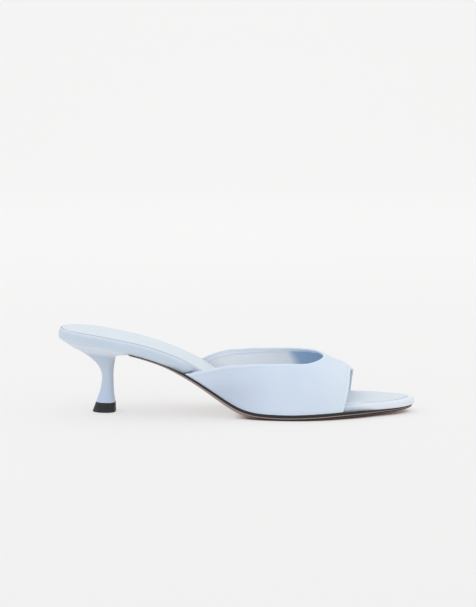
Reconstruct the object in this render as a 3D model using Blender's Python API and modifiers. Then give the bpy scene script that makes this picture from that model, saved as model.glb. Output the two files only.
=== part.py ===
"""Kitten heel mule, right shoe.

An open-toed leather upper is lasted over a wrapped footbed, and stands on a thin leather
outsole and a slim covered heel with a rubber top piece. Metres, +Z up, +X to the toe and
-Y to the outer side of the foot. Every piece of the bottom and the upper is laid out in
the last's own coordinates: along the shoe, across it, and up from the feather line.
"""

import math
from collections import namedtuple

import bmesh
import bpy
import numpy as np

# Driving sizes of the last

SHOE_LENGTH = 0.2455
BALL_WIDTH = 0.0765
HEEL_RISE = 0.0486
TOE_SPRING = 0.0028
ARCH_LIFT = 0.0016
ARCH_WIDTH = 0.054
LEAN_REACH = 0.014
CLEARANCE = 0.0003

# Footbed and sock

FOOTBED_DEPTH = 0.0083
FOOTBED_BULGE = 0.0003
FOOTBED_RIM = 0.0021
HEEL_RIM = 0.0012
HEEL_RIM_LENGTH = 0.022
TOE_RIM = 0.0042
TOE_RIM_START = 0.90
SOCK_RECESS = 0.0015
SOCK_CROWN = 0.0009
SOCK_EDGE_WIDTH = 0.0007
SOCK_EDGE_DROP = 0.0005

# Upper

UPPER_WALL = 0.0016
UPPER_SEAT = 0.0010
COVER_BLEND = 0.016
VAMP_HEIGHT = 0.0363
RIDGE_SHIFT = 0.003

# Outsole

OUTSOLE_THICKNESS = 0.0034
OUTSOLE_LEDGE = 0.0005
OUTSOLE_EDGE_SHARE = 0.5
OUTSOLE_BEVEL = 0.0012
TREAD_LEVELLED = 0.0002

# Heel and top piece

SEAT_LENGTH = 0.0490
SEAT_WIDTH = 0.0520
WIDEST_SHARE = 0.56
TIP_HEIGHT = 0.0065
TIP_PROUD = 0.0002
TIP_BACK_FLARE = 0.0024
TIP_FRONT_FLARE = 0.0002
TIP_SIDE_FLARE = 0.0008
TIP_EDGE = 0.0004

# Mesh fineness, the distance at which coincident corners are joined, the bend in degrees
# that shows as an edge, and the steps over which slopes are taken

OUTLINE_STEPS = 44
SOCK_STEPS_ACROSS = 8
UPPER_SIDE_STEPS = 18
UPPER_FRONT_STEPS = 20
UPPER_STEPS_DOWN = 12
HEEL_STEPS_AROUND = 48
HEEL_RINGS = 22
JOIN_DISTANCE = 1e-6
EDGE_BEND = 38
SLOPE_STEP = 0.0005
TURN_STEP = 0.001

# Plan of the footbed: half widths as shares of the ball width, by share of the length

Plan = namedtuple("Plan", "along lateral medial")
PLAN = (
    Plan(0.000, 0.000, 0.000),
    Plan(0.012, 0.155, 0.155),
    Plan(0.033, 0.241, 0.241),
    Plan(0.065, 0.306, 0.306),
    Plan(0.114, 0.340, 0.340),
    Plan(0.183, 0.337, 0.335),
    Plan(0.264, 0.318, 0.310),
    Plan(0.366, 0.323, 0.304),
    Plan(0.467, 0.381, 0.344),
    Plan(0.569, 0.468, 0.420),
    Plan(0.650, 0.503, 0.474),
    Plan(0.711, 0.497, 0.497),
    Plan(0.772, 0.452, 0.467),
    Plan(0.825, 0.386, 0.405),
    Plan(0.878, 0.314, 0.342),
    Plan(0.927, 0.241, 0.268),
    Plan(0.959, 0.186, 0.206),
    Plan(0.990, 0.095, 0.102),
    Plan(1.000, 0.000, 0.000),
)

# Side profile: rise as a share of the heel rise, spring of the toe spring, arch of the arch
# lift, depth of the footbed depth, sole of the outsole thickness and ledge of its ledge

Profile = namedtuple("Profile", "along rise spring arch depth sole ledge")
PROFILE = (
    Profile(0.000, 1.000, 0.00, 0.00, 0.91, 0.36, 1.0),
    Profile(0.061, 0.958, 0.00, 0.00, 0.93, 0.36, 1.0),
    Profile(0.110, 0.921, 0.00, 0.00, 0.94, 0.36, 1.0),
    Profile(0.151, 0.876, 0.00, 0.00, 0.96, 0.36, 1.0),
    Profile(0.203, 0.818, 0.00, 0.00, 0.98, 0.34, 1.0),
    Profile(0.285, 0.690, 0.00, 0.15, 1.00, 0.38, 1.0),
    Profile(0.346, 0.558, 0.00, 0.50, 1.00, 0.48, 1.0),
    Profile(0.407, 0.381, 0.00, 1.00, 0.96, 0.60, 1.0),
    Profile(0.468, 0.185, 0.00, 0.80, 0.84, 0.74, 1.0),
    Profile(0.508, 0.078, 0.00, 0.40, 0.75, 0.84, 1.0),
    Profile(0.549, 0.022, 0.00, 0.10, 0.68, 0.92, 1.0),
    Profile(0.598, 0.004, 0.00, 0.00, 0.63, 0.99, 1.0),
    Profile(0.634, 0.000, 0.00, 0.00, 0.61, 1.00, 1.0),
    Profile(0.671, 0.000, 0.05, 0.00, 0.60, 1.00, 1.0),
    Profile(0.732, 0.000, 0.25, 0.00, 0.60, 0.97, 1.0),
    Profile(0.813, 0.000, 0.45, 0.00, 0.60, 0.88, 1.0),
    Profile(0.894, 0.000, 0.49, 0.00, 0.62, 0.76, 0.8),
    Profile(0.955, 0.000, 0.59, 0.00, 0.64, 0.67, -0.2),
    Profile(1.000, 0.000, 0.86, 0.00, 0.64, 0.61, -2.4),
)

# Sections of the upper: ridge as a share of the vamp height, and fullness of the curve
# from the feather line to the ridge, where 2 is an ellipse

Section = namedtuple("Section", "along ridge fullness")
SECTIONS = (
    Section(0.30, 1.71, 3.00),
    Section(0.41, 1.71, 3.00),
    Section(0.49, 1.65, 3.00),
    Section(0.57, 1.54, 2.95),
    Section(0.63, 1.39, 2.80),
    Section(0.67, 1.25, 2.65),
    Section(0.71, 1.11, 2.50),
    Section(0.74, 1.00, 2.45),
    Section(0.774, 0.879, 2.40),
    Section(0.807, 0.777, 2.40),
    Section(0.835, 0.630, 2.40),
)

# Collar from the wing tips to the throat: height of the edge as a share of the ridge

Collar = namedtuple("Collar", "along lateral medial")
COLLAR = (
    Collar(0.354, 0.000, 0.000),
    Collar(0.372, 0.077, 0.052),
    Collar(0.395, 0.166, 0.161),
    Collar(0.430, 0.302, 0.321),
    Collar(0.475, 0.450, 0.479),
    Collar(0.520, 0.549, 0.581),
    Collar(0.570, 0.611, 0.644),
    Collar(0.640, 0.707, 0.743),
    Collar(0.700, 0.814, 0.868),
    Collar(0.733, 0.931, 0.972),
    Collar(0.7465, 1.000, 1.000),
)
COLLAR_SIDE_ROWS = 8

# Toe edge: place along the shoe by share of the way round from the lateral feather line

ToeEdge = namedtuple("ToeEdge", "around along")
TOE_EDGE = (
    ToeEdge(0.00, 0.7935),
    ToeEdge(0.10, 0.8055),
    ToeEdge(0.22, 0.8150),
    ToeEdge(0.38, 0.8212),
    ToeEdge(0.55, 0.8300),
    ToeEdge(0.75, 0.8362),
    ToeEdge(0.88, 0.8335),
    ToeEdge(1.00, 0.8290),
)

# Rounded wall of the footbed: outward swell in bulges, inward roll as a share of the rim,
# and height as a share of the depth

Wall = namedtuple("Wall", "swell roll height")
FOOTBED_WALL = (
    Wall(0.0, 0.30, 0.00),
    Wall(0.4, 0.00, 0.12),
    Wall(1.0, 0.00, 0.40),
    Wall(0.8, 0.00, 0.64),
    Wall(0.0, 0.10, 0.83),
    Wall(0.0, 0.45, 0.96),
    Wall(0.0, 0.80, 1.00),
    Wall(0.0, 1.00, 0.98),
)

# Heel from the seat to the top piece: drop of the way down, back and front of the seat
# length, half width of the seat's, and squareness of the front, where 2 is an ellipse

Ring = namedtuple("Ring", "drop back front half_width square")
HEEL = (
    Ring(0.000, 0.006, 1.000, 1.000, 8.0),
    Ring(0.022, 0.036, 0.997, 0.985, 7.0),
    Ring(0.066, 0.104, 0.940, 0.910, 5.5),
    Ring(0.113, 0.184, 0.848, 0.790, 4.5),
    Ring(0.155, 0.275, 0.808, 0.650, 3.8),
    Ring(0.205, 0.358, 0.794, 0.520, 3.2),
    Ring(0.285, 0.461, 0.784, 0.385, 2.8),
    Ring(0.380, 0.545, 0.773, 0.290, 2.6),
    Ring(0.480, 0.591, 0.766, 0.238, 2.5),
    Ring(0.580, 0.604, 0.764, 0.213, 2.5),
    Ring(0.735, 0.588, 0.767, 0.223, 2.6),
    Ring(0.860, 0.560, 0.773, 0.250, 2.8),
    Ring(1.000, 0.518, 0.788, 0.285, 3.0),
)

LATERAL = -1
MEDIAL = 1


def smooth_curve(knots, values):
    """Return a natural cubic through the given points, as a function."""
    x = np.array(knots, dtype=float)
    y = np.array(values, dtype=float)
    count = len(x)
    gap = np.diff(x)
    matrix = np.eye(count)
    right = np.zeros(count)
    for i in range(1, count - 1):
        matrix[i, i - 1] = gap[i - 1]
        matrix[i, i] = 2 * (gap[i - 1] + gap[i])
        matrix[i, i + 1] = gap[i]
        right[i] = 6 * ((y[i + 1] - y[i]) / gap[i] - (y[i] - y[i - 1]) / gap[i - 1])
    bend = np.linalg.solve(matrix, right)

    def value_at(t):
        i = int(np.clip(np.searchsorted(x, t) - 1, 0, count - 2))
        a = (x[i + 1] - t) / gap[i]
        b = (t - x[i]) / gap[i]
        cubic = (a**3 - a) * bend[i] + (b**3 - b) * bend[i + 1]
        return float(a * y[i] + b * y[i + 1] + cubic * gap[i] ** 2 / 6)

    return value_at


def column(table, name):
    """Return one column of a table as a smooth function of the place along the shoe."""
    places = [row.along * SHOE_LENGTH for row in table]
    return smooth_curve(places, [getattr(row, name) for row in table])


def turn_at(along):
    """Return the angle that spaces sections closely at the two round ends."""
    return math.acos(1 - 2 * min(max(along, 0.0), 1.0))


rise_at = column(PROFILE, "rise")
spring_at = column(PROFILE, "spring")
arch_at = column(PROFILE, "arch")
depth_at = column(PROFILE, "depth")
sole_at = column(PROFILE, "sole")
ledge_at = column(PROFILE, "ledge")
ridge_at = column(SECTIONS, "ridge")
fullness_at = column(SECTIONS, "fullness")

plan_turns = [turn_at(row.along) for row in PLAN]
plan_at = {
    LATERAL: smooth_curve(plan_turns, [row.lateral * BALL_WIDTH for row in PLAN]),
    MEDIAL: smooth_curve(plan_turns, [row.medial * BALL_WIDTH for row in PLAN]),
}
toe_edge_at = smooth_curve(
    [row.around for row in TOE_EDGE],
    [row.along * SHOE_LENGTH for row in TOE_EDGE],
)


def feather_height(x):
    """Return the height of the feather line, which is the footbed's underside."""
    base = OUTSOLE_THICKNESS + CLEARANCE - TREAD_LEVELLED
    return base + HEEL_RISE * rise_at(x) + TOE_SPRING * spring_at(x)


def feather_angle(x):
    """Return the slope of the feather line as an angle."""
    climb = feather_height(x + SLOPE_STEP) - feather_height(x - SLOPE_STEP)
    return math.atan(climb / (2 * SLOPE_STEP))


def on_last(x, y, up):
    """Place a point of the last's coordinates: square to the feather line, then upright.

    The waist tilts, so that its medial edge is higher than the lateral by the arch's lift.
    """
    angle = feather_angle(x)
    lean = up
    if up > 0:
        lean = LEAN_REACH * (1 - math.exp(-up / LEAN_REACH))
    lift = ARCH_LIFT * arch_at(x) * (y + ARCH_WIDTH / 2) / ARCH_WIDTH
    height = feather_height(x) + lift + up - (1 - math.cos(angle)) * lean
    return (x - lean * math.sin(angle), y, height)


def smooth_step(value):
    """Ease from 0 to 1."""
    share = min(max(value, 0.0), 1.0)
    return share * share * (3 - 2 * share)


def cover_at(x):
    """Return 1 where the upper covers the footbed's side, easing to 0 outside it."""
    start = COLLAR[0].along * SHOE_LENGTH - COVER_BLEND
    end = max(row.along for row in TOE_EDGE) * SHOE_LENGTH + COVER_BLEND
    return smooth_step((x - start) / COVER_BLEND) * smooth_step((end - x) / COVER_BLEND)


def footbed_depth(x):
    return FOOTBED_DEPTH * depth_at(x)


def rim_at(x):
    """Return the width of the footbed's rim: narrow behind the heel, wide at the toe."""
    toe_share = (x / SHOE_LENGTH - TOE_RIM_START) / (1 - TOE_RIM_START)
    heel_share = 1 - x / HEEL_RIM_LENGTH
    widening = (TOE_RIM - FOOTBED_RIM) * smooth_step(toe_share)
    return FOOTBED_RIM + widening - (FOOTBED_RIM - HEEL_RIM) * smooth_step(heel_share)


def plan_point(turn, side, outward):
    """Return the plan point at a turn of the outline, moved outward by a function of x."""
    x = SHOE_LENGTH * (1 - math.cos(turn)) / 2
    y = plan_at[side](turn)
    run = SHOE_LENGTH * math.sin(turn) / 2
    widening = plan_at[side](turn + TURN_STEP) - plan_at[side](turn - TURN_STEP)
    widening /= 2 * TURN_STEP
    length = math.hypot(run, widening)
    distance = outward(x)
    moved_x = x - distance * widening / length
    moved_y = y + distance * run / length
    return moved_x, side * max(moved_y, 0.0)


def outline_ring(outward, up, start=0.0):
    """Return a ring round the plan: the rear's middle, the lateral side, the toe's tip
    and the medial side. outward and up are functions of x."""
    first = turn_at(start)
    turns = [first + (math.pi - first) * i / OUTLINE_STEPS for i in range(OUTLINE_STEPS + 1)]
    lateral = [plan_point(turn, LATERAL, outward) for turn in turns]
    medial = [plan_point(turn, MEDIAL, outward) for turn in turns]
    rear = ((lateral[0][0] + medial[0][0]) / 2, 0.0)
    tip = (lateral[-1][0], 0.0)
    flat = [rear] + lateral[:-1] + [tip] + medial[-2::-1]
    return [(x, y, up(x)) for x, y in flat]


class Surface:
    """Corners and faces gathered from grids, joined where the grids meet."""

    def __init__(self):
        self.corners = []
        self.faces = []

    def add_grid(self, rows, closed=False):
        """Add the faces between rows of points, closing each row into a ring if asked."""
        start = len(self.corners)
        width = len(rows[0])
        for row in rows:
            self.corners.extend(row)
        reach = width if closed else width - 1
        for i in range(len(rows) - 1):
            for j in range(reach):
                a = start + i * width + j
                b = start + i * width + (j + 1) % width
                self.faces.append((a, b, b + width, a + width))

    def add_cap(self, ring, across=1, crown=0.0):
        """Close a ring with strips from one side to the other, swelling by the crown."""
        half = len(ring) // 2
        rows = []
        for i in range(half + 1):
            left = ring[i]
            right = ring[-i % len(ring)]
            swell = crown * math.sqrt(abs(right[1] - left[1]) / BALL_WIDTH)
            row = []
            for j in range(across + 1):
                share = j / across
                point = [a + (b - a) * share for a, b in zip(left, right)]
                point[2] += swell * 4 * share * (1 - share)
                row.append(tuple(point))
            rows.append(row)
        self.add_grid(rows)

    def map(self, place):
        """Send every corner through a placing function."""
        self.corners = [place(*corner) for corner in self.corners]


def make_piece(name, surface, material, solid=True):
    """Turn a gathered surface into an object of the shoe."""
    mesh = bpy.data.meshes.new(name)
    mesh.from_pydata(surface.corners, [], surface.faces)
    work = bmesh.new()
    work.from_mesh(mesh)
    bmesh.ops.remove_doubles(work, verts=work.verts, dist=JOIN_DISTANCE)
    bmesh.ops.dissolve_degenerate(work, edges=work.edges, dist=JOIN_DISTANCE)
    if solid:
        bmesh.ops.recalc_face_normals(work, faces=work.faces)
    work.to_mesh(mesh)
    work.free()
    mesh.shade_smooth()
    mesh.set_sharp_from_angle(angle=math.radians(EDGE_BEND))
    mesh.materials.append(material)
    piece = bpy.data.objects.new(name, mesh)
    shoe.objects.link(piece)
    piece.parent = origin
    return piece


def make_material(name, colour, roughness):
    material = bpy.data.materials.new(name)
    material.use_nodes = True
    shader = material.node_tree.nodes["Principled BSDF"]
    shader.inputs["Base Color"].default_value = (*colour, 1.0)
    shader.inputs["Roughness"].default_value = roughness
    shader.inputs["Metallic"].default_value = 0.0
    return material


def make_footbed(material):
    """Insole board and foam in one wrap of leather, with a recess for the sock."""

    def edge(swell, roll):
        return lambda x: FOOTBED_BULGE * swell - rim_at(x) * roll - UPPER_SEAT * cover_at(x)

    def level(share, below=0.0):
        return lambda x: footbed_depth(x) * share - below

    rings = [outline_ring(edge(row.swell, row.roll), level(row.height)) for row in FOOTBED_WALL]
    recess = outline_ring(edge(0.0, 1.0), level(1.0, SOCK_RECESS))
    surface = Surface()
    surface.add_grid(rings + [recess], closed=True)
    surface.add_cap(rings[0])
    surface.add_cap(recess)
    surface.map(on_last)
    return make_piece("footbed", surface, material)


def make_sock(material):
    """Padded sock that lies in the footbed's recess, softly crowned."""

    def inward(distance):
        return lambda x: -rim_at(x) - UPPER_SEAT * cover_at(x) - CLEARANCE - distance

    bottom = outline_ring(inward(0.0), lambda x: footbed_depth(x) - SOCK_RECESS + CLEARANCE)
    shoulder = outline_ring(inward(0.0), lambda x: footbed_depth(x) - SOCK_EDGE_DROP)
    top = outline_ring(inward(SOCK_EDGE_WIDTH), footbed_depth)
    surface = Surface()
    surface.add_grid([bottom, shoulder, top], closed=True)
    surface.add_cap(bottom)
    surface.add_cap(top, SOCK_STEPS_ACROSS, SOCK_CROWN)
    surface.map(on_last)
    return make_piece("sock", surface, material)


def make_outsole(material):
    """Thin leather sole from the heel's front lip to the toe, bevelled underneath."""
    start = (SEAT_LENGTH + CLEARANCE) / SHOE_LENGTH
    proud = FOOTBED_BULGE + CLEARANCE + UPPER_WALL - UPPER_SEAT

    def edge(inset):
        return lambda x: OUTSOLE_LEDGE * ledge_at(x) + proud * cover_at(x) - inset * sole_at(x)

    def down(share):
        return lambda x: -CLEARANCE - share * OUTSOLE_THICKNESS * sole_at(x)

    top = outline_ring(edge(0.0), down(0.0), start)
    middle = outline_ring(edge(0.0), down(OUTSOLE_EDGE_SHARE), start)
    bottom = outline_ring(edge(OUTSOLE_BEVEL), down(1.0), start)
    surface = Surface()
    surface.add_grid([top, middle, bottom], closed=True)
    surface.add_cap(top)
    surface.add_cap(bottom)

    def on_floor(x, y, up):
        placed = on_last(x, y, up)
        return (placed[0], placed[1], max(placed[2], 0.0))

    surface.map(on_floor)
    return make_piece("outsole", surface, material)


def upper_half_width(x, side):
    """Return the outer half width of the upper where it meets the sole."""
    ahead = plan_at[side](turn_at((x + SLOPE_STEP) / SHOE_LENGTH))
    behind = plan_at[side](turn_at((x - SLOPE_STEP) / SHOE_LENGTH))
    slope = (ahead - behind) / (2 * SLOPE_STEP)
    offset = FOOTBED_BULGE + CLEARANCE + UPPER_WALL - UPPER_SEAT
    return plan_at[side](turn_at(x / SHOE_LENGTH)) + offset * math.hypot(1.0, slope)


def upper_point(x, around):
    """Return the upper's outer surface, around being 0 and 1 at the two feather lines."""
    angle = math.pi * around
    side = LATERAL if around < 0.5 else MEDIAL
    width = upper_half_width(x, side)
    height = VAMP_HEIGHT * ridge_at(x)
    power = fullness_at(x)
    across = abs(math.cos(angle)) / width
    upward = abs(math.sin(angle)) / height
    reach = (across**power + upward**power) ** (-1 / power)
    up = reach * abs(math.sin(angle))
    y = -reach * math.cos(angle) + RIDGE_SHIFT * (up / height) ** 2
    return on_last(x, y, up)


def around_at(x, side, share):
    """Return the way round at which the upper has a share of its ridge's height."""
    power = fullness_at(x)
    across = upper_half_width(x, side) * (1 - share**power) ** (1 / power)
    angle = math.atan2(share * VAMP_HEIGHT * ridge_at(x), across)
    return angle / math.pi if side == LATERAL else 1 - angle / math.pi


def collar_points():
    """Return the collar's places (x, around) from the lateral wing tip to the medial."""
    rows = [(row.along * SHOE_LENGTH, row) for row in COLLAR]
    lateral = [(x, around_at(x, LATERAL, row.lateral)) for x, row in rows]
    medial = [(x, around_at(x, MEDIAL, row.medial)) for x, row in rows[:-1]]
    places = lateral + medial[::-1]
    solid = [upper_point(x, around) for x, around in places]
    lengths = [0.0]
    for a, b in zip(solid, solid[1:]):
        lengths.append(lengths[-1] + math.dist(a, b))
    x_along = smooth_curve(lengths, [place[0] for place in places])
    around_along = smooth_curve(lengths, [place[1] for place in places])
    first = lengths[COLLAR_SIDE_ROWS - 1]
    second = lengths[-COLLAR_SIDE_ROWS]
    stops = list(np.linspace(0.0, first, UPPER_SIDE_STEPS + 1))
    stops += list(np.linspace(first, second, UPPER_FRONT_STEPS + 1)[1:])
    stops += list(np.linspace(second, lengths[-1], UPPER_SIDE_STEPS + 1)[1:])
    return [(x_along(stop), around_along(stop)) for stop in stops]


def border_points():
    """Return the places along the feather line and over the toe edge, as collar_points."""
    wing = COLLAR[0].along * SHOE_LENGTH
    lateral = [(x, 0.0) for x in np.linspace(wing, toe_edge_at(0.0), UPPER_SIDE_STEPS + 1)]
    turns = np.linspace(0.0, 1.0, UPPER_FRONT_STEPS + 1)
    front = [(toe_edge_at(around), around) for around in turns]
    medial = [(x, 1.0) for x in np.linspace(toe_edge_at(1.0), wing, UPPER_SIDE_STEPS + 1)]
    return lateral + front[1:] + medial[1:]


def make_upper(material):
    """One band of lined leather from the collar down to the sole and over to the toe."""
    surface = Surface()
    rows = []
    for near, far in zip(collar_points(), border_points()):
        row = []
        for i in range(UPPER_STEPS_DOWN + 1):
            share = i / UPPER_STEPS_DOWN
            x = near[0] + (far[0] - near[0]) * share
            around = near[1] + (far[1] - near[1]) * share
            row.append(upper_point(x, around))
        rows.append(row)
    surface.add_grid(rows)
    piece = make_piece("upper", surface, material, solid=False)
    wall = piece.modifiers.new("wall", "SOLIDIFY")
    wall.thickness = UPPER_WALL
    wall.offset = -1.0
    wall.use_even_offset = True
    wall.use_quality_normals = True
    wall.use_rim = True
    return piece


def heel_shape(back, front, half_width, square):
    """Return a ring in plan: an elliptic back and a squarer front, from the front's middle."""
    middle = back + WIDEST_SHARE * (front - back)
    ring = []
    for i in range(HEEL_STEPS_AROUND):
        angle = 2 * math.pi * i / HEEL_STEPS_AROUND
        cosine = round(math.cos(angle), 9)
        sine = round(math.sin(angle), 9)
        power = 2 / square if cosine > 0 else 1.0
        reach = front - middle if cosine > 0 else middle - back
        x = middle + math.copysign(reach * abs(cosine) ** power, cosine)
        y = math.copysign(half_width * abs(sine) ** power, -sine)
        ring.append((x, y))
    return ring


def heel_ring(row):
    """Return the plan ring of one row of the heel's table."""
    half_width = row.half_width * SEAT_WIDTH / 2
    return heel_shape(row.back * SEAT_LENGTH, row.front * SEAT_LENGTH, half_width, row.square)


def make_heel(material):
    """Covered heel: a cup under the seat that narrows to a neck and flares to its tip."""
    numbers = range(len(HEEL))
    curves = [smooth_curve(numbers, [row[i] for row in HEEL]) for i in range(len(Ring._fields))]
    bottom = TIP_HEIGHT + CLEARANCE
    rings = []
    for i in range(HEEL_RINGS + 1):
        place = (len(HEEL) - 1) * i / HEEL_RINGS
        row = Ring(*[curve(place) for curve in curves])
        ring = []
        for x, y in heel_ring(row):
            seat = feather_height(x) - CLEARANCE
            ring.append((x, y, seat + (bottom - seat) * row.drop))
        rings.append(ring)
    surface = Surface()
    surface.add_grid(rings, closed=True)
    surface.add_cap(rings[0])
    surface.add_cap(rings[-1])
    return make_piece("heel", surface, material)


def make_heel_tip(material):
    """Rubber top piece under the heel, flaring to the floor."""
    last = HEEL[-1]
    rings = []
    for outward, height in (
        (TIP_PROUD, TIP_HEIGHT),
        (TIP_PROUD, TIP_EDGE),
        (TIP_PROUD - TIP_EDGE, 0.0),
    ):
        flare = 1 - height / TIP_HEIGHT
        back = last.back * SEAT_LENGTH - flare * TIP_BACK_FLARE - outward
        front = last.front * SEAT_LENGTH + flare * TIP_FRONT_FLARE + outward
        half_width = last.half_width * SEAT_WIDTH / 2 + flare * TIP_SIDE_FLARE + outward
        rings.append([(x, y, height) for x, y in heel_shape(back, front, half_width, last.square)])
    surface = Surface()
    surface.add_grid(rings, closed=True)
    surface.add_cap(rings[0])
    surface.add_cap(rings[-1])
    return make_piece("heel_tip", surface, material)


def centre_on_floor(pieces):
    """Move the shoe so that its origin is the middle of its box's underside."""
    bpy.context.view_layer.update()
    graph = bpy.context.evaluated_depsgraph_get()
    points = []
    for piece in pieces:
        shape = piece.evaluated_get(graph).to_mesh()
        points.extend(tuple(corner.co) for corner in shape.vertices)
        piece.evaluated_get(graph).to_mesh_clear()
    low = np.min(points, axis=0)
    high = np.max(points, axis=0)
    origin.location = (-(low[0] + high[0]) / 2, -(low[1] + high[1]) / 2, -low[2])
    bpy.context.view_layer.update()


for old in list(bpy.data.objects):
    bpy.data.objects.remove(old, do_unlink=True)

shoe = bpy.data.collections.new("kitten_heel_mule")
bpy.context.scene.collection.children.link(shoe)
origin = bpy.data.objects.new("shoe_origin", None)
shoe.objects.link(origin)

blue_leather = make_material("pale_blue_leather", (0.60, 0.72, 0.84), 0.50)
blue_sock = make_material("pale_blue_sock", (0.64, 0.74, 0.84), 0.55)
blue_footbed = make_material("pale_blue_footbed", (0.58, 0.70, 0.82), 0.50)
blue_heel = make_material("pale_blue_heel", (0.58, 0.70, 0.84), 0.45)
dark_edge = make_material("dark_sole_leather", (0.05, 0.045, 0.045), 0.50)
black_rubber = make_material("black_rubber", (0.03, 0.03, 0.032), 0.65)

centre_on_floor(
    [
        make_outsole(dark_edge),
        make_heel(blue_heel),
        make_heel_tip(black_rubber),
        make_footbed(blue_footbed),
        make_sock(blue_sock),
        make_upper(blue_leather),
    ]
)
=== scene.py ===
"""Kitten heel mule, right shoe, in pale blue leather.

The shoe is made up on its last, so each piece is laid out in the last's own coordinates:
x along the shoe from the back of the heel, y across it with the outer side at -y, and up
from the feather line, where the upper meets the sole. Metres throughout.
"""

import math
from collections import namedtuple

import bmesh
import bpy
import numpy as np
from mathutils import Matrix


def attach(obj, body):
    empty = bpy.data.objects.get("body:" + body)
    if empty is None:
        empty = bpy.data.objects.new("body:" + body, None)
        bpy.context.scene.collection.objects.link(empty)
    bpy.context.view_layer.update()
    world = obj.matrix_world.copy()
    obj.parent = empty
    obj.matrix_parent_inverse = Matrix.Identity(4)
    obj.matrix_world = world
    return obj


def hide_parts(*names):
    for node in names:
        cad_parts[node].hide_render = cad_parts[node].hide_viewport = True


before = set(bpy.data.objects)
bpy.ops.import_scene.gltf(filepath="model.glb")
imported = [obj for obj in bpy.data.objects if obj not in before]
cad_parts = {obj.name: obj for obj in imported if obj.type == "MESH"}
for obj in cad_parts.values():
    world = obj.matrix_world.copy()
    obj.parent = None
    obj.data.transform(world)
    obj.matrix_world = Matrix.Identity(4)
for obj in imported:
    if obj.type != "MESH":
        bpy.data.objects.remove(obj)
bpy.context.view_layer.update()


# Footbed
# The insole board and its foam are wrapped in one piece of pale blue leather, drawn tight
# round a soft edge. The rim rolls over into a narrow recess, in which the sock is laid.

SHOE_LENGTH = 0.2455
BALL_WIDTH = 0.0765
HEEL_RISE = 0.0486
TOE_SPRING = 0.0028
ARCH_LIFT = 0.0016
ARCH_WIDTH = 0.054
LEAN_REACH = 0.014
CLEARANCE = 0.0003
OUTSOLE_THICKNESS = 0.0034
TREAD_LEVELLED = 0.0002
HEEL_BACK_X = -0.122823
LAST_MIDDLE_Y = 0.000318

FOOTBED_DEPTH = 0.0083
FOOTBED_BULGE = 0.0003
FOOTBED_RIM = 0.0021
HEEL_RIM = 0.0012
HEEL_RIM_LENGTH = 0.022
TOE_RIM = 0.0042
TOE_RIM_START = 0.90
SOCK_RECESS = 0.0015
RECESS_ROLL = 1.02
UPPER_SEAT = 0.0010
COVER_START = 0.0869
COVER_END = 0.2053
COVER_BLEND = 0.016
CEMENT_LINE = 0.00003
WING_POCKET = 0.0012
WING_POCKET_MIDDLE = 0.0915
WING_POCKET_LENGTH = 0.0055
OUTLINE_STEPS = 150
WALL_STEPS = 34
SLOPE_STEP = 0.0005
TURN_STEP = 0.001
MILLIMETRE = 0.001
WELD_DISTANCE = 0.000001
LATERAL = -1
MEDIAL = 1


def table(columns, *rows):
    """Return rows of values under named columns."""
    row = namedtuple("Row", columns)
    return [row(*values) for values in rows]


# Half widths as shares of the ball width, by share of the length
PLAN = table(
    "along lateral medial",
    (0.000, 0.000, 0.000),
    (0.012, 0.155, 0.155),
    (0.033, 0.241, 0.241),
    (0.065, 0.306, 0.306),
    (0.114, 0.340, 0.340),
    (0.183, 0.337, 0.335),
    (0.264, 0.318, 0.310),
    (0.366, 0.323, 0.304),
    (0.467, 0.381, 0.344),
    (0.569, 0.468, 0.420),
    (0.650, 0.503, 0.474),
    (0.711, 0.497, 0.497),
    (0.772, 0.452, 0.467),
    (0.825, 0.386, 0.405),
    (0.878, 0.314, 0.342),
    (0.927, 0.241, 0.268),
    (0.959, 0.186, 0.206),
    (0.990, 0.095, 0.102),
    (1.000, 0.000, 0.000),
)

# Shares of the heel's rise, the toe's spring, the arch's lift, the footbed's depth, the
# outsole's thickness and its ledge, by share of the length
PROFILE = table(
    "along rise spring arch depth sole ledge",
    (0.000, 1.000, 0.00, 0.00, 0.91, 0.36, 1.0),
    (0.061, 0.958, 0.00, 0.00, 0.93, 0.36, 1.0),
    (0.110, 0.921, 0.00, 0.00, 0.94, 0.36, 1.0),
    (0.151, 0.876, 0.00, 0.00, 0.96, 0.36, 1.0),
    (0.203, 0.818, 0.00, 0.00, 0.98, 0.34, 1.0),
    (0.285, 0.690, 0.00, 0.15, 1.00, 0.38, 1.0),
    (0.346, 0.558, 0.00, 0.50, 1.00, 0.48, 1.0),
    (0.407, 0.381, 0.00, 1.00, 0.96, 0.60, 1.0),
    (0.468, 0.185, 0.00, 0.80, 0.84, 0.74, 1.0),
    (0.508, 0.078, 0.00, 0.40, 0.75, 0.84, 1.0),
    (0.549, 0.022, 0.00, 0.10, 0.68, 0.92, 1.0),
    (0.598, 0.004, 0.00, 0.00, 0.63, 0.99, 1.0),
    (0.634, 0.000, 0.00, 0.00, 0.61, 1.00, 1.0),
    (0.671, 0.000, 0.05, 0.00, 0.60, 1.00, 1.0),
    (0.732, 0.000, 0.25, 0.00, 0.60, 0.97, 1.0),
    (0.813, 0.000, 0.45, 0.00, 0.60, 0.88, 1.0),
    (0.894, 0.000, 0.49, 0.00, 0.62, 0.76, 0.8),
    (0.955, 0.000, 0.59, 0.00, 0.64, 0.67, -0.2),
    (1.000, 0.000, 0.86, 0.00, 0.64, 0.61, -2.4),
)

# Outward swell in bulges, inward roll in rims and height in depths, up the wrapped wall
FOOTBED_WALL = table(
    "swell roll height",
    (-0.1, 0.00, 0.00),
    (0.2, 0.00, 0.07),
    (0.8, 0.00, 0.22),
    (1.0, 0.00, 0.42),
    (0.8, 0.00, 0.61),
    (0.0, 0.06, 0.79),
    (-0.4, 0.25, 0.900),
    (0.0, 0.54, 0.940),
    (0.0, 0.80, 0.925),
    (0.0, 0.97, 0.870),
)


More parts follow.
